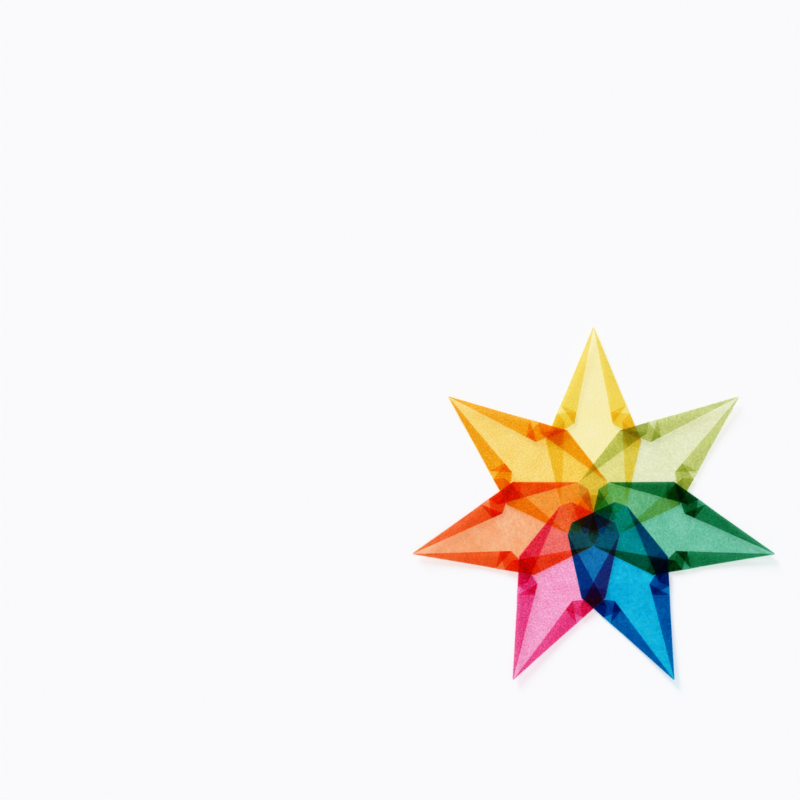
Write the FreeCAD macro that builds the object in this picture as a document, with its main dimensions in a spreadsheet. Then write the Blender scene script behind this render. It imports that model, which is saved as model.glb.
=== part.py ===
import FreeCAD, Part
import math
import os

# A seven-pointed window star, folded from seven square sheets of translucent kite paper.
# Every sheet is folded the same way into one slim point, and the points are glued one over
# the next, so that their bottom folds all pass through the middle of the star.
# Frame: the star lies flat with its smooth side on Z = 0 and its flaps up, its middle is at
# the origin, and the tip of the yellow point is along +Y. Lengths are millimetres.

# Driving dimensions

SIZES = (
    ("sheet_side", 80.0, "side of the square sheet as cut"),
    ("paper_thickness", 0.045, "thickness of the kite paper"),
    ("layer_gap", 0.005, "air or glue left between two pressed layers"),
    ("edge_setback", 0.25, "how far a raw edge stays short of the line it is folded to"),
    ("crease_width", 0.12, "width over which a crease is pressed solid"),
)

# The seven sheets, from the bottom of the pile to its top, clockwise as seen from above
SHEETS = (
    "yellow_sheet",
    "light_green_sheet",
    "green_sheet",
    "blue_sheet",
    "pink_sheet",
    "orange_sheet",
    "golden_sheet",
)

RAW_EDGE_ANGLE = 45.0  # between a raw edge and the diagonal, on any square
TIP_CREASE_ANGLE = RAW_EDGE_ANGLE / 2
TIP_HEM_ANGLE = (RAW_EDGE_ANGLE + TIP_CREASE_ANGLE) / 2
TINY = 1e-6

os.makedirs("parts", exist_ok=True)
doc = FreeCAD.newDocument("WindowStar")
sizes = doc.addObject("Spreadsheet::Sheet", "Sizes")


def write_cell(row, name, text, meaning):
    """One row of the sheet: what it is, its name, and its value under that alias."""
    sizes.set(f"A{row}", meaning)
    sizes.set(f"B{row}", name)
    sizes.set(f"C{row}", text)
    sizes.setAlias(f"C{row}", name)


for number, (name, value, meaning) in enumerate(SIZES, start=1):
    write_cell(number, name, str(value), meaning)
doc.recompute()

SHEET_SIDE = float(sizes.sheet_side)
PAPER = float(sizes.paper_thickness)
PITCH = PAPER + float(sizes.layer_gap)
SETBACK = float(sizes.edge_setback)
CREASE_WIDTH = float(sizes.crease_width)

# The creases are laid out on a guide square that is larger than the paper by the setback on
# every side, so that each raw edge ends just inside the fold that traps it.
GUIDE_SIDE = SHEET_SIDE + 2 * SETBACK
DIAGONAL = GUIDE_SIDE * math.sqrt(2)
# Length of a crease that halves the angle at the tip and runs to the far raw edge. The bottom
# corner is folded up to this depth below the tip, and the side corners are aimed at half of it.
KITE_CREASE = GUIDE_SIDE / math.cos(math.radians(TIP_CREASE_ANGLE))
TIP_TO_MIDDLE = (DIAGONAL + KITE_CREASE) / 2


# Points and folds

def at(across, depth):
    """A point of the plane, by its distance across from the axis and its depth below the tip."""
    return FreeCAD.Vector(across, TIP_TO_MIDDLE - depth, 0)


def unit(vector):
    """The vector at length one."""
    return vector / vector.Length


def fold_line(through, along):
    """A fold line, as a point on it and its normal towards the paper that stays put."""
    normal = unit(FreeCAD.Vector(-along.y, along.x, 0))
    if (at(0, DIAGONAL / 2) - through).dot(normal) < 0:
        normal = -normal
    return through, normal


def inside_by(point, line):
    """How far a point lies on the side of a fold line that stays put."""
    return (point - line[0]).dot(line[1])


def mirrored(point, line):
    """The point where a fold on the line takes this point."""
    return point - line[1] * (2 * inside_by(point, line))


def clipped(facet, line, side=1):
    """The part of a convex facet on one side of a line: 1 for what stays put, -1 for the rest.

    A corner of a facet is a pair of points: where it lies now, and where it lay on the flat
    sheet. A cut shares out both in the same proportion.
    """
    kept = []
    for (here, flat_here), (there, flat_there) in zip(facet, facet[1:] + facet[:1]):
        depth_here = side * inside_by(here, line)
        depth_there = side * inside_by(there, line)
        if depth_here > -TINY:
            kept.append((here, flat_here))
        if min(depth_here, depth_there) < -TINY and max(depth_here, depth_there) > TINY:
            share = depth_here / (depth_here - depth_there)
            cut = here + (there - here) * share
            kept.append((cut, flat_here + (flat_there - flat_here) * share))
    beyond = any(side * inside_by(point, line) > TINY for point, flat in kept)
    return kept if beyond else []


def folded(pile, line):
    """The pile of facets, bottom first, after what lies past the line is turned over on top."""
    stays = [clipped(facet, line) for facet in pile]
    turns = [clipped(facet, line, -1) for facet in reversed(pile)]
    turned = [[(mirrored(point, line), flat) for point, flat in facet] for facet in turns]
    return [facet for facet in stays + turned if facet]


def fold_sheet():
    """The facets of one point of the star, bottom first, in the order that folding piles them."""
    reach = SHEET_SIDE / math.sqrt(2)
    corners = [
        at(0, DIAGONAL / 2 - reach),
        at(-reach, DIAGONAL / 2),
        at(0, DIAGONAL / 2 + reach),
        at(reach, DIAGONAL / 2),
    ]
    pile = [[(corner, corner) for corner in corners]]
    for side in (-1, 1):
        # The side corner is aimed at the axis. Before that crease is folded, both raw edges of
        # the corner are hemmed to it, the one from the tip first.
        corner = at(side * DIAGONAL / 2, DIAGONAL / 2)
        target = at(0, KITE_CREASE / 2)
        across = target - corner
        crease = fold_line((corner + target) / 2, FreeCAD.Vector(-across.y, across.x, 0))
        for start in (at(0, 0), at(0, DIAGONAL)):
            raw_edge = unit(corner - start)
            hinge = start - raw_edge * (inside_by(start, crease) / raw_edge.dot(crease[1]))
            along = FreeCAD.Vector(-crease[1].y, crease[1].x, 0)
            if along.dot(raw_edge) < 0:
                along = -along
            pile = folded(pile, fold_line(hinge, raw_edge + along))
        pile = folded(pile, crease)
    for side in (-1, 1):
        # At the tip the raw edge is hemmed to the half angle, then that crease is folded.
        for angle in (TIP_HEM_ANGLE, TIP_CREASE_ANGLE):
            lean = math.tan(math.radians(angle))
            pile = folded(pile, fold_line(at(0, 0), FreeCAD.Vector(side * lean, -1, 0)))
    # Last, the bottom corner is folded up on the line that becomes the middle of the star.
    return folded(pile, fold_line(at(0, TIP_TO_MIDDLE), FreeCAD.Vector(1, 0, 0)))


# Levels and creases

def edges(facet):
    """The facet's edges, each as a pair of neighbouring corners."""
    return list(zip(facet, facet[1:] + facet[:1]))


def sides(facet):
    """A line along each edge of a convex facet, with its normal towards the facet."""
    middle = sum((point for point, flat in facet), FreeCAD.Vector()) / len(facet)
    lines = []
    for (here, flat_here), (there, flat_there) in edges(facet):
        along = there - here
        if along.Length > TINY:
            normal = unit(FreeCAD.Vector(-along.y, along.x, 0))
            if (middle - here).dot(normal) < 0:
                normal = -normal
            lines.append((here, normal))
    return lines


def overlaps(one, other):
    """True unless a line along an edge of one of the two convex facets parts them."""
    for first, second in ((one, other), (other, one)):
        for line in sides(first):
            if max(inside_by(point, line) for point, flat in second) < -CREASE_WIDTH:
                return False
    return True


def pile_levels(pile):
    """Each facet's level, which is one above the highest facet that it lies on."""
    levels = []
    for facet in pile:
        under = [level for below, level in zip(pile, levels) if overlaps(facet, below)]
        levels.append(max(under, default=-1) + 1)
    return levels


def same_place(one, other):
    """True for two points that coincide."""
    return (one - other).Length < 10 * TINY


def shared_crease(one, other):
    """The edge at which two facets hang together on the flat sheet, as it lies now, or None."""
    for (here, flat_here), (there, flat_there) in edges(one):
        for (start, flat_start), (end, flat_end) in edges(other):
            matches = (same_place(flat_here, flat_start) and same_place(flat_there, flat_end)) or (
                same_place(flat_here, flat_end) and same_place(flat_there, flat_start)
            )
            if matches and (there - here).Length > TINY:
                return here, there
    return None


def crease_strip(one, other, crease):
    """The ground of a pressed crease: what both facets cover within the crease's width."""
    here, there = crease
    along = unit(there - here)
    inward = FreeCAD.Vector(-along.y, along.x, 0)
    if max((point - here).dot(inward) for point, flat in one) < TINY:
        inward = -inward
    strip = clipped(one, (here + inward * CREASE_WIDTH, -inward))
    for line in sides(other):
        strip = clipped(strip, line)
    return strip


def slab(facet, bottom, top):
    """A facet's outline as a plate between two heights."""
    corners = [point + FreeCAD.Vector(0, 0, bottom) for point, flat in facet]
    outline = Part.makePolygon(corners + corners[:1])
    return Part.Face(outline).extrude(FreeCAD.Vector(0, 0, top - bottom))


def folded_solid(pile, levels):
    """The folded sheet as one solid: a plate for each facet, and a wall at each crease."""
    plates = [
        slab(facet, level * PITCH, level * PITCH + PAPER) for facet, level in zip(pile, levels)
    ]
    walls = []
    for upper in range(len(pile)):
        for lower in range(upper):
            crease = shared_crease(pile[lower], pile[upper])
            if crease is None:
                continue
            strip = crease_strip(pile[lower], pile[upper], crease)
            heights = sorted((levels[lower] * PITCH, levels[upper] * PITCH))
            walls.append(slab(strip, heights[0], heights[1] + PAPER))
    return plates[0].multiFuse(plates[1:] + walls).removeSplitter()


# The star

pile = fold_sheet()
levels = pile_levels(pile)
point_shape = folded_solid(pile, levels)
print("facets", len(pile), "layers at the shoulder", max(levels) + 1)
print("solids", len(point_shape.Solids), "volume", round(point_shape.Volume, 1))

row = len(SIZES) + 1
write_cell(row, "layer_count", str(max(levels) + 1), "layers at the thickest spot of one point")
write_cell(
    row + 1,
    "point_rise",
    "=layer_count * (paper_thickness + layer_gap)",
    "height by which each point lies above the one before it",
)
write_cell(row + 2, "point_turn", f"=360 / {len(SHEETS)}", "angle from one point to the next")
doc.recompute()

for place, name in enumerate(SHEETS):
    sheet = doc.addObject("Part::Feature", name)
    sheet.Label = name
    sheet.Shape = point_shape.copy()
    sheet.Placement = FreeCAD.Placement()
    sheet.setExpression(".Placement.Rotation.Axis.z", "-1")
    sheet.setExpression(".Placement.Rotation.Angle", f"{place} * Sizes.point_turn")
    sheet.setExpression(".Placement.Base.z", f"{place} * Sizes.point_rise")
doc.recompute()

for thing in doc.Objects:
    if "Invalid" in thing.State or "Error" in thing.State:
        raise RuntimeError(f"{thing.Label} did not compute: {thing.State}")

for name in SHEETS:
    shape = doc.getObject(name).Shape
    if shape.isNull() or not shape.isValid() or len(shape.Solids) != 1:
        raise RuntimeError(f"{name} is not one valid solid")
    shape.exportStep(f"parts/{name}.step")
    box = shape.BoundBox
    print(f"{name}: {box.XMin:.2f} to {box.XMax:.2f}, {box.YMin:.2f} to {box.YMax:.2f},"
          f" {box.ZMin:.3f} to {box.ZMax:.3f}")
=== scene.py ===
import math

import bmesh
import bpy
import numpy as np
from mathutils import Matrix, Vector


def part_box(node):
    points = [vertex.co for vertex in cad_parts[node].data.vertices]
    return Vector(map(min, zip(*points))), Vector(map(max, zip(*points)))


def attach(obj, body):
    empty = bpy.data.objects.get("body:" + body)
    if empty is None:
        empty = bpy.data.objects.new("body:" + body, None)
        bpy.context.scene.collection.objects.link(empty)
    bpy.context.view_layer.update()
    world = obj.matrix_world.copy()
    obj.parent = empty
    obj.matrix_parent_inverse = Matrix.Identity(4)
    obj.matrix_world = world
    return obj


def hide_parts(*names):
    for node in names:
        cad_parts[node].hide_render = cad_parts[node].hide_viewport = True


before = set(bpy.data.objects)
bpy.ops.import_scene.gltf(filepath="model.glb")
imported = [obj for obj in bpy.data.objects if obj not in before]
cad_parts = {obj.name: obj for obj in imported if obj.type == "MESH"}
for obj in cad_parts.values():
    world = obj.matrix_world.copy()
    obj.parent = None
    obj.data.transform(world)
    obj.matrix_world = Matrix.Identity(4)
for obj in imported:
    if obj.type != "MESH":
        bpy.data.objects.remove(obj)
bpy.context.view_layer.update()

# %% [markdown]
# # A window star of folded glassine
# Seven square sheets of coloured glassine are each folded into one slim point, and the points
# are glued one over the next. The paper lets light through, so every overlap mixes the colours
# of its layers like panes of stained glass. This script folds the seven sheets again with
# numpy, lets the layers settle on each other as thin paper does, and gives them a paper that
# multiplies the light going through it.

MM = 0.001
SHEETS = ("yellow", "light_green", "green", "blue", "pink", "orange", "golden")
print("nodes in the frame:", sorted(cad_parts))

# %% [markdown]
# ## The size of the square
# Each point of the star is a folded square. The frame gives the distance from the middle of
# the star to the tip. The folds are laid out on a guide square, a little larger than the paper,
# so that raw edges stop short of the folds that trap them. Going back from the tip to the side
# of the square needs only the two lengths along the diagonal: the diagonal itself, and the
# crease that halves the angle at the tip.

# %% The guide square and the paper
SETBACK = 0.25 * MM
PAPER = 0.045 * MM
TIP_CREASE = math.radians(22.5)
TIP_HEM = math.radians(33.75)

tip_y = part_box("yellow_sheet")[1][1]
middle_depth = tip_y + SETBACK * math.sqrt(2)
guide_side = 2 * middle_depth / (math.sqrt(2) + 1 / math.cos(TIP_CREASE))
diagonal = guide_side * math.sqrt(2)
kite_crease = guide_side / math.cos(TIP_CREASE)
sheet_side = guide_side - 2 * SETBACK
print(f"sheet {sheet_side / MM:.2f} mm square, star {2 * tip_y / MM:.1f} mm across its tips")

# %% [markdown]
# ## Folding flat paper with arrays
# A facet is a convex patch of the sheet. Its corners are rows of four numbers: where the corner
# lies now, and where it lay on the flat sheet. A fold line is a point and a normal. Folding cuts
# every facet along the line, mirrors what lies beyond it, and puts that on top of the pile in
# reverse order.

# %% Cut and mirror
TINY = 1e-9


def at(across, depth):
    """A point by its distance across from the axis and its depth below the tip."""
    return np.array([across, middle_depth - depth])


def unit(vector):
    """The vector at length one."""
    return np.asarray(vector) / np.hypot(*vector)


def fold_line(through, along):
    """A point on the line, and the unit normal towards the middle of the guide square."""
    normal = unit((-along[1], along[0]))
    return through, normal * np.sign((at(0, diagonal / 2) - through) @ normal)


def inside_by(points, line):
    """Distance of points from a fold line, positive where the paper stays: (p - start) . n."""
    return (points - line[0]) @ line[1]


def cut(facet, line, side):
    """The facet's part on one side of a line.

    Every edge that crosses the line gets a new corner at the share d / (d - d next) of its
    length, where d is the signed distance of a corner from the line.
    """
    depth = side * inside_by(facet[:, :2], line)
    ahead = np.roll(depth, -1)
    crosses = (np.minimum(depth, ahead) < -TINY) & (np.maximum(depth, ahead) > TINY)
    span = np.where(crosses, depth - ahead, 1)
    extra = facet + (np.roll(facet, -1, axis=0) - facet) * (depth / span)[:, None]
    corners = np.stack([facet, extra], axis=1).reshape(-1, 4)
    keep = np.stack([depth > -TINY, crosses], axis=1).ravel()
    return corners[keep] if (depth > TINY).any() else corners[:0]


def fold(pile, line):
    """The pile after one valley fold: mirrored point = p - 2 (d . n) n, and the order turned."""
    stays = [cut(facet, line, 1) for facet in pile]
    turns = [cut(facet, line, -1) for facet in reversed(pile)]
    for facet in turns:
        facet[:, :2] -= 2 * inside_by(facet[:, :2], line)[:, None] * line[1]
    return [facet for facet in stays + turns if len(facet) > 2]


print(f"the middle of the star lies {middle_depth / MM:.2f} mm below the tip of the guide square")

# %% [markdown]
# ## One point of the star
# The square stands on its bottom corner. Each side corner is aimed at the axis: both of its raw
# edges are first hemmed to that crease, so that no raw edge shows, and then the crease is
# folded. At the tip the raw edges are hemmed to the half angle and folded over once more. Last
# the bottom corner comes up, on a line through the middle of the star.

# %% Eleven folds
def fold_point():
    """The facets of one point of the star, from the bottom of the pile to its top."""
    reach = sheet_side / math.sqrt(2)
    square = at(0, diagonal / 2) + reach * np.array([[0, 1], [-1, 0], [0, -1], [1, 0]])
    pile = [np.hstack([square, square])]
    for side in (-1, 1):
        corner = at(side * diagonal / 2, diagonal / 2)
        across = at(0, kite_crease / 2) - corner
        crease = fold_line(corner + across / 2, (-across[1], across[0]))
        along = np.array([-crease[1][1], crease[1][0]])
        for start in (at(0, 0), at(0, diagonal)):
            raw_edge = unit(corner - start)
            hinge = start - raw_edge * inside_by(start, crease) / (raw_edge @ crease[1])
            halfway = raw_edge + along * np.sign(along @ raw_edge)
            pile = fold(pile, fold_line(hinge, halfway))
        pile = fold(pile, crease)
    for side in (-1, 1):
        for angle in (TIP_HEM, TIP_CREASE):
            pile = fold(pile, fold_line(at(0, 0), (side * math.sin(angle), -math.cos(angle))))
    return fold(pile, fold_line(at(0, middle_depth), (1, 0)))


POINT = fold_point()
print(len(POINT), "facets in each folded point")

# %% [markdown]
# ## How high each layer lies
# Thin paper settles. A layer lies one pitch higher for every layer below it, and where those
# end it sinks back gently. So the height of a layer is the pitch times the sum of soft covers:
# the cover of a facet is 1 over the facet and falls to 0 over a short reach outside it. The sum
# runs over all facets earlier in the pile, of this point and of the points under it, so no
# layer can pass another.

# %% The pile of all seven points
PITCH = 0.055 * MM
SETTLE = 12 * MM
TURN = -2 * math.pi / len(SHEETS)


def turned(points, angle):
    """Plane points turned about the middle of the star."""
    c, s = math.cos(angle), math.sin(angle)
    return points @ np.array([[c, s], [-s, c]])


def smooth(x):
    """0 below 0, 1 above 1, and 3x^2 - 2x^3 between."""
    x = np.clip(x, 0, 1)
    return x * x * (3 - 2 * x)


def side_normals(outline):
    """The corners of a convex outline and the unit normals of its sides, pointing out."""
    along = np.roll(outline, -1, axis=0) - outline
    real = np.hypot(*along.T) > TINY
    along, start = along[real], outline[real]
    normal = np.stack([along[:, 1], -along[:, 0]], axis=1) / np.hypot(*along.T)[:, None]
    inwards = ((outline.mean(axis=0) - start) * normal).sum(axis=1) > 0
    return start, np.where(inwards[:, None], -normal, normal)


def cover(points, outline):
    """1 over the outline, falling smoothly to 0 at the settling reach outside it."""
    start, normal = side_normals(outline)
    outside = ((points[:, None, :] - start) * normal).sum(axis=2).max(axis=1)
    return smooth(1 - np.maximum(outside, 0) / SETTLE)


LAYERS = [turned(facet[:, :2], TURN * place) for place in range(len(SHEETS)) for facet in POINT]
print(len(LAYERS), "layers in the whole pile")

# %% [markdown]
# ## How folded paper springs
# Pressed paper never lies quite flat. The sheets cockle in slow waves, the free tips curl up a
# little from the table, and outside the part that is glued each flap opens by a few degrees
# from the fold that it turns on. These small heights are what throws soft shadows on the table.

# %% Waves, curl and open flaps
COCKLE = 0.12 * MM
WAVE_X = 17 * MM
WAVE_Y = 21 * MM
WAVE_SLANTED = 13 * MM
SLANTED_SHARE = 0.6
CURL = 1.7 * MM
CURL_START = 30 * MM
OPENING = math.radians(2.5)
GLUED_RADIUS = 56 * MM
FREE_RADIUS = 68 * MM


def cockle(points):
    """The slow waves of paper that isn't quite flat, never below 0.

    The height is sin(x) sin(y), plus a share of sin(x + y), plus 1 and that share. Each sine has
    its own scale and a phase in radians.
    """
    x, y = points.T
    crossed = np.sin(x / WAVE_X + 0.6) * np.sin(y / WAVE_Y + 1.1)
    slanted = SLANTED_SHARE * np.sin((x + y) / WAVE_SLANTED + 2.0)
    return COCKLE * (crossed + slanted + 1 + SLANTED_SHARE)


def curl(points):
    """The lift of the tips: the square of how far out a point lies past where the curl starts."""
    out = (np.hypot(*points.T) - CURL_START) / (tip_y - CURL_START)
    return CURL * np.maximum(out, 0) ** 2


def opening(points, place):
    """The lift of a flap: its small angle times the distance in from the point's outline."""
    across, along = turned(points, -TURN * place).T
    depth = middle_depth - along
    inwards = depth * math.sin(TIP_CREASE) - np.abs(across) * math.cos(TIP_CREASE)
    free = smooth((np.hypot(*points.T) - GLUED_RADIUS) / (FREE_RADIUS - GLUED_RADIUS))
    return OPENING * np.maximum(inwards, 0) * free


def height(points, place, number):
    """Height of one facet's points: its paper lies on every layer that comes before it."""
    layer = place * len(POINT) + number
    below = sum((cover(points, outline) for outline in LAYERS[:layer]), np.zeros(len(points)))
    lift = opening(points, place) if number else 0
    return PAPER / 2 + PITCH * below + cockle(points) + curl(points) + lift


print(f"the tips curl up by {CURL / MM:.1f} mm, and flaps open by {math.degrees(OPENING):.1f} degrees")

# %% [markdown]
# ## A mesh for each sheet
# A convex facet is divided into one four-sided patch per corner: from the middle of the facet
# to the corner, between the middles of the two edges that meet there. Each patch is a grid of
# two parameters. Where two facets hang together at a crease, a narrow half-round strip joins
# them, so the sheet stays one surface, as real paper does. Every point also keeps its place on
# the flat sheet in a UV map, because the fibres were there before the folds.

# %% Patches and creases
CELLS = 10
BEND = 5
SAME_PLACE = 1e-7


def patches(facet):
    """One grid for each corner of a facet, of points (x, y, flat x, flat y).

    With a and b from 0 to 1, a point is (1-a)(1-b) of the middle, a(1-b) of the middle of the
    edge before the corner, ab of the corner and (1-a)b of the middle of the edge after it.
    """
    middle = facet.mean(axis=0)
    before = (np.roll(facet, 1, axis=0) + facet) / 2
    after = (np.roll(facet, -1, axis=0) + facet) / 2
    steps = np.linspace(0, 1, CELLS + 1)
    a = steps[None, :, None, None]
    b = steps[None, None, :, None]
    corner, before, after = (rows[:, None, None, :] for rows in (facet, before, after))
    inner = (1 - a) * (1 - b) * middle + a * (1 - b) * before
    return inner + a * b * corner + (1 - a) * b * after


def grid_faces(rows, columns, first):
    """The quads of a grid whose points are numbered row by row from first."""
    index = first + np.arange(rows * columns).reshape(rows, columns)
    quads = [index[:-1, :-1], index[1:, :-1], index[1:, 1:], index[:-1, 1:]]
    return np.stack(quads, axis=-1).reshape(-1, 4)


def shared_edge(one, other):
    """The number of the edge at which one facet hangs on another, or None.

    Both run the same way round the sheet, so the edge's start on one is its end on the other.
    """
    start, end = one[:, 2:], np.roll(one, -1, axis=0)[:, 2:]
    far, near = other[:, 2:], np.roll(other, -1, axis=0)[:, 2:]
    gap = np.abs(start[:, None] - near[None]).sum(axis=2)
    gap += np.abs(end[:, None] - far[None]).sum(axis=2)
    found = np.argwhere(gap < SAME_PLACE)
    return int(found[0][0]) if len(found) else None


def crease_strip(place, lower, upper, edge):
    """The half-round strip that joins two facets at a crease, as a grid of points.

    With t from 0 to 180 degrees and r half the height between the facets, a point lies r sin t
    outwards of the crease and r cos t below the middle of that height.
    """
    here, there = POINT[lower][edge], POINT[lower][(edge + 1) % len(POINT[lower])]
    line = here + (there - here) * np.linspace(0, 1, 2 * CELLS + 1)[:, None]
    along = there[:2] - here[:2]
    outwards = unit((along[1], -along[0]))
    outwards *= -np.sign(outwards @ (POINT[lower][:, :2].mean(axis=0) - here[:2]))
    plane, outwards = turned(line[:, :2], TURN * place), turned(outwards, TURN * place)
    low, high = height(plane, place, lower), height(plane, place, upper)
    t = np.linspace(0, math.pi, BEND + 1)[:, None]
    radius = (high - low) / 2
    bulge = (radius * np.sin(t))[:, :, None] * outwards
    rise = (high + low) / 2 - radius * np.cos(t)
    flat = np.broadcast_to(line[:, 2:], (BEND + 1, *line[:, 2:].shape))
    return np.concatenate([plane + bulge, rise[:, :, None], flat], axis=2)


def sheet_surface(place):
    """Points (x, y, z, flat x, flat y) and quads of one folded sheet of the star."""
    points, quads, count = [], [], 0
    for number, facet in enumerate(POINT):
        grids = patches(facet).reshape(-1, 4)
        plane = turned(grids[:, :2], TURN * place)
        points.append(np.column_stack([plane, height(plane, place, number), grids[:, 2:]]))
        for corner in facet:
            quads.append(grid_faces(CELLS + 1, CELLS + 1, count))
            count += (CELLS + 1) ** 2
    for upper in range(len(POINT)):
        for lower in range(upper):
            edge = shared_edge(POINT[lower], POINT[upper])
            if edge is not None:
                strip = crease_strip(place, lower, upper, edge)
                points.append(strip.reshape(-1, 5))
                quads.append(grid_faces(*strip.shape[:2], count))
                count += len(points[-1])
    return np.concatenate(points), np.concatenate(quads)


print(sum(len(facet) for facet in POINT), "patches of", CELLS**2, "cells in each sheet")

# %% [markdown]
# The grids are welded where they meet, and a Solidify modifier gives the surface the thickness
# of the paper, half to each side.

# %% Mesh objects
WELD = 0.5e-6
FLAT_MAP = "flat sheet"


def make_sheet(place, colour):
    """One folded sheet as an object: its surface welded and thickened, with its UV map."""
    points, quads = sheet_surface(place)
    mesh = bpy.data.meshes.new(f"{colour}_glassine_sheet")
    mesh.from_pydata(points[:, :3].tolist(), [], quads.tolist())
    on_sheet = (points[:, 3:] - at(0, diagonal / 2)) / diagonal + 0.5
    flat = mesh.uv_layers.new(name=FLAT_MAP)
    flat.data.foreach_set("uv", on_sheet[quads].ravel())
    shell = bmesh.new()
    shell.from_mesh(mesh)
    bmesh.ops.remove_doubles(shell, verts=shell.verts, dist=WELD)
    bmesh.ops.recalc_face_normals(shell, faces=shell.faces)
    shell.to_mesh(mesh)
    shell.free()
    mesh.shade_smooth()
    piece = bpy.data.objects.new(mesh.name, mesh)
    bpy.context.scene.collection.objects.link(piece)
    thicken = piece.modifiers.new("paper thickness", "SOLIDIFY")
    thicken.thickness = PAPER
    thicken.offset = 0
    return piece


PIECES = [make_sheet(place, colour) for place, colour in enumerate(SHEETS)]
for piece in PIECES:
    top = max(v.co.z for v in piece.data.vertices) / MM
    print(f"{piece.name}: {len(piece.data.polygons)} quads, top at {top:.2f} mm")

# %% [markdown]
# ## Glassine
# Glassine is pulp beaten very fine and pressed between hot rollers until light passes through.
# What the eye sees through a layer is what lies behind, multiplied by the dye. So most of the
# shader is a Transparent BSDF whose colour is the dye. Light meets each layer four times on a
# pale table: through two faces on the way down and two on the way up, so each face gets the
# fourth root of the colour that one layer shows. A small share is scattered on its way, which
# a Translucent BSDF gives, and a thin waxy shine grows towards grazing angles.

# %% Colours and a small helper for nodes
DYES = {
    "yellow": "#FDF3B5",
    "light_green": "#EAEEC7",
    "green": "#70C6A5",
    "blue": "#0CB3DD",
    "pink": "#F8A2CD",
    "orange": "#FBB382",
    "golden": "#FDDD79",
}


def linear(code):
    """An sRGB hex colour as the linear numbers that shaders use."""
    value = np.array([int(code[i : i + 2], 16) for i in (1, 3, 5)]) / 255
    value = np.where(value <= 0.04045, value / 12.92, ((value + 0.055) / 1.055) ** 2.4)
    return (*value.tolist(), 1.0)


def socket(node, name):
    """The node's input of that name, or of that number for _0, _1 and so on."""
    return node.inputs[int(name[1:]) if name[0] == "_" else name]


def add(tree, kind, settings=None, **links):
    """A node with its settings, by attribute or input, and its linked inputs."""
    node = tree.nodes.new(kind)
    for name, value in (settings or {}).items():
        if name[0] == "_" or name in node.inputs:
            socket(node, name).default_value = value
        else:
            setattr(node, name, value)
    for name, source in links.items():
        tree.links.new(source, socket(node, name))
    return node


print("one layer of each paper shows as", DYES)

# %% [markdown]
# The pulp isn't even. Clouds of fibre a few millimetres wide make the dye denser here and
# thinner there, slower drifts run over the whole sheet, and specks under a millimetre block a
# little of all the light. The strongly dyed papers show more of these specks than the pale ones.
# The noises read the place on the flat sheet, so the fibres turn over with the paper at a fold.

# %% The paper's shader
FACES_PASSED = 4
SPECK = 0.9 * MM
CLOUD = 2.0 * MM
DRIFT = 12 * MM
NOISE_DETAIL = 2.0
SPECK_RANGE = (0.35, 0.65)
PULP_RANGE = (0.6, 1.4)
UNEVEN = 0.25
SCATTER = 0.02
SHINE_AHEAD = 0.0006
SHINE_GRAZING = 0.22
SHINE_POWER = 6.0
WAX_ROUGHNESS = 0.38
WAX_IOR = 1.5
RELIEF = 0.02 * MM
RELIEF_STRENGTH = 0.2
SPECKS = {
    "yellow": 0.02,
    "light_green": 0.04,
    "green": 0.09,
    "blue": 0.08,
    "pink": 0.13,
    "orange": 0.05,
    "golden": 0.06,
}


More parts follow.
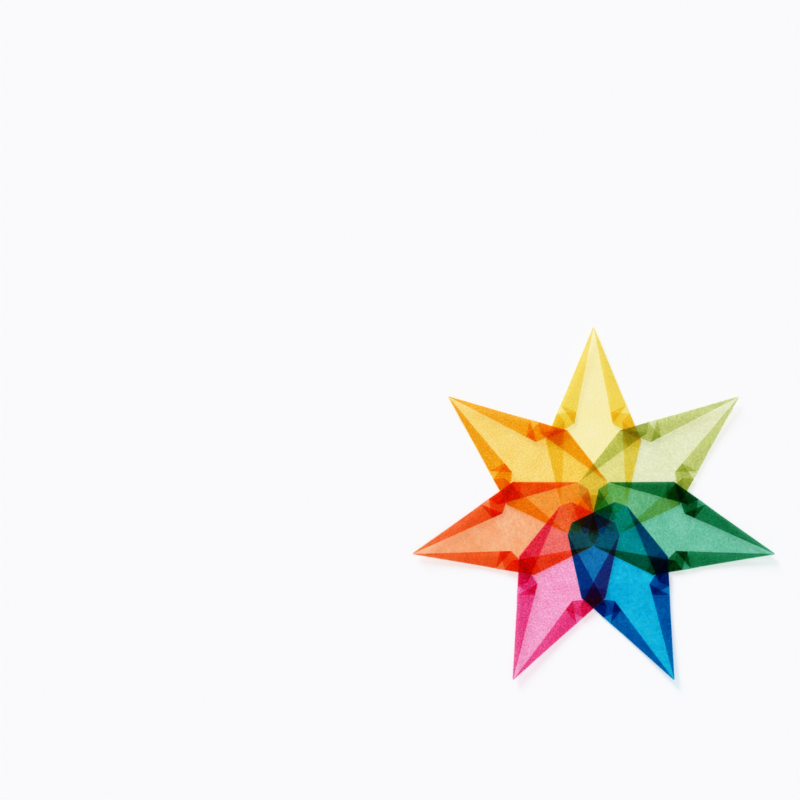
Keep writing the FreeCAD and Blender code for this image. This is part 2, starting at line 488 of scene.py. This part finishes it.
def glassine(colour, seed):
    """Dyed glassine: a film that multiplies, with specks and clouds of fibre and a waxy shine."""
    material = bpy.data.materials.new(f"{colour} glassine")
    material.use_nodes = True
    tree = material.node_tree
    tree.nodes.clear()
    flat = add(tree, "ShaderNodeUVMap", {"uv_map": FLAT_MAP})
    place = add(tree, "ShaderNodeMapping", {"Location": (0, 0, seed)}, Vector=flat.outputs["UV"])
    speck, cloud, drift = (
        add(tree, "ShaderNodeTexNoise", {"Scale": diagonal / size, "Detail": NOISE_DETAIL},
            Vector=place.outputs["Vector"]).outputs["Fac"]
        for size in (SPECK, CLOUD, DRIFT)
    )
    # The dye: its colour to the power of a quarter for each face, more where the pulp is dense
    pulp = add(tree, "ShaderNodeMath", {"operation": "ADD"}, _0=cloud, _1=drift)
    dense = add(tree, "ShaderNodeMapRange",
                {"From Min": PULP_RANGE[0], "From Max": PULP_RANGE[1], "clamp": False,
                 "To Min": (1 - UNEVEN) / FACES_PASSED, "To Max": (1 + UNEVEN) / FACES_PASSED},
                Value=pulp.outputs["Value"])
    dye = add(tree, "ShaderNodeGamma", {"Color": linear(DYES[colour])},
              Gamma=dense.outputs["Result"])
    # The specks: they take the same share of every colour
    clear = add(tree, "ShaderNodeMapRange",
                {"From Min": SPECK_RANGE[0], "From Max": SPECK_RANGE[1],
                 "To Min": 1 + SPECKS[colour] / 2, "To Max": 1 - SPECKS[colour] / 2},
                Value=speck)
    seen = add(tree, "ShaderNodeVectorMath", {"operation": "SCALE"},
               _0=dye.outputs["Color"], Scale=clear.outputs["Result"])
    film = add(tree, "ShaderNodeBsdfTransparent", Color=seen.outputs["Vector"])
    blur = add(tree, "ShaderNodeBsdfTranslucent", Color=seen.outputs["Vector"])
    through = add(tree, "ShaderNodeMixShader", {"Fac": SCATTER},
                  _1=film.outputs["BSDF"], _2=blur.outputs["BSDF"])
    # The rollers' gloss: faint from above, and a pale sheen where the paper is seen nearly edge on
    relief = add(tree, "ShaderNodeBump", {"Strength": RELIEF_STRENGTH, "Distance": RELIEF},
                 Height=cloud)
    wax = add(tree, "ShaderNodeBsdfPrincipled",
              {"Base Color": linear(DYES[colour]), "Roughness": WAX_ROUGHNESS, "IOR": WAX_IOR},
              Normal=relief.outputs["Normal"])
    edge_on = add(tree, "ShaderNodeLayerWeight", {"Blend": 0.5})
    steep = add(tree, "ShaderNodeMath", {"operation": "POWER", "_1": SHINE_POWER},
                _0=edge_on.outputs["Facing"])
    shine = add(tree, "ShaderNodeMath",
                {"operation": "MULTIPLY_ADD", "_1": SHINE_GRAZING, "_2": SHINE_AHEAD},
                _0=steep.outputs["Value"])
    paper = add(tree, "ShaderNodeMixShader", Fac=shine.outputs["Value"],
                _1=through.outputs["Shader"], _2=wax.outputs["BSDF"])
    add(tree, "ShaderNodeOutputMaterial", Surface=paper.outputs["Shader"])
    return material


for number, (piece, colour) in enumerate(zip(PIECES, SHEETS)):
    piece.data.materials.append(glassine(colour, number))
    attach(piece, "root")
    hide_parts(f"{colour}_sheet")
print("materials:", [piece.data.materials[0].name for piece in PIECES])

# %% [markdown]
# ## The table
# The star lies on a plain white table, matt, so that what comes back through the paper is even.

# %% Table
FLOOR_SIZE = 3.0
TABLE_WHITE = "#FAFAFC"
TABLE_ROUGHNESS = 0.9
half = FLOOR_SIZE / 2
floor_mesh = bpy.data.meshes.new("table")
floor_mesh.from_pydata([(-half, -half, 0), (half, -half, 0), (half, half, 0), (-half, half, 0)],
                       [], [(0, 1, 2, 3)])
floor = bpy.data.objects.new("table", floor_mesh)
bpy.context.scene.collection.objects.link(floor)
table_paint = bpy.data.materials.new("white table paint")
table_paint.use_nodes = True
paint = table_paint.node_tree.nodes["Principled BSDF"]
paint.inputs["Base Color"].default_value = linear(TABLE_WHITE)
paint.inputs["Roughness"].default_value = TABLE_ROUGHNESS
paint.inputs["Specular IOR Level"].default_value = 0.0
floor_mesh.materials.append(table_paint)
print(f"a table {FLOOR_SIZE:.0f} m wide")

# %% [markdown]
# ## The light
# Even light from overhead shows the paper's colours, and a low light from the upper left throws
# the soft shadow at the lower right of each point. Both are sun lamps, so that the table is lit
# the same all over, and their angle sets how soft their shadows are.

# %% Light
LAMPS = {
    "overhead": {"towards": (0.0, 0.02, 1.0), "strength": 1.47, "spread": 12},
    "low key from the upper left": {"towards": (-0.5, 0.87, 0.27), "strength": 2.8, "spread": 16},
}
ROOM_LIGHT = 0.3


def sun(name, towards, strength, spread):
    """Adds parallel light from a direction. The spread in degrees softens its shadows."""
    data = bpy.data.lights.new(name, "SUN")
    data.energy = strength
    data.angle = math.radians(spread)
    lamp = bpy.data.objects.new(name, data)
    across = math.hypot(towards[0], towards[1])
    lamp.rotation_euler = (math.atan2(across, towards[2]), 0,
                           math.atan2(towards[1], towards[0]) + math.pi / 2)
    bpy.context.scene.collection.objects.link(lamp)


for name, settings in LAMPS.items():
    sun(name, **settings)
    print("lamp:", name)

world = bpy.data.worlds.new("soft room")
world.use_nodes = True
background = world.node_tree.nodes["Background"]
background.inputs["Color"].default_value = (1, 1, 1, 1)
background.inputs["Strength"].default_value = ROOM_LIGHT
bpy.context.scene.world = world

# %% [markdown]
# ## The camera
# The camera looks straight down. Its place is worked out from where the star's middle and its
# tips are to stand in the picture. Light crosses many layers near the middle of the star, two
# faces for each, so the scene allows more see-through bounces than usual.

# %% Camera
FRAME_PX = 800
STAR_RADIUS_PX = 186.2
STAR_MIDDLE_PX = (593.4, 512.4)
LENS = 100.0
SENSOR = 36.0
SEE_THROUGH_BOUNCES = 256

metres_per_px = middle_depth / STAR_RADIUS_PX
camera_data = bpy.data.cameras.new("camera")
camera_data.lens = LENS
camera_data.sensor_width = SENSOR
camera = bpy.data.objects.new("camera", camera_data)
camera.location = (
    (FRAME_PX / 2 - STAR_MIDDLE_PX[0]) * metres_per_px,
    (STAR_MIDDLE_PX[1] - FRAME_PX / 2) * metres_per_px,
    FRAME_PX * metres_per_px * LENS / SENSOR,
)
bpy.context.scene.collection.objects.link(camera)
bpy.context.scene.camera = camera
bpy.context.scene.view_settings.view_transform = "Standard"
bpy.context.scene.cycles.transparent_max_bounces = SEE_THROUGH_BOUNCES
print(f"camera {camera.location.z:.3f} m above the table")

# %% [markdown]
# ## The end
# Last, the scene is brought up to date. The dressed star is thinner than the box of the
# solids, because its layers have settled.

# %% The end
bpy.context.view_layer.update()
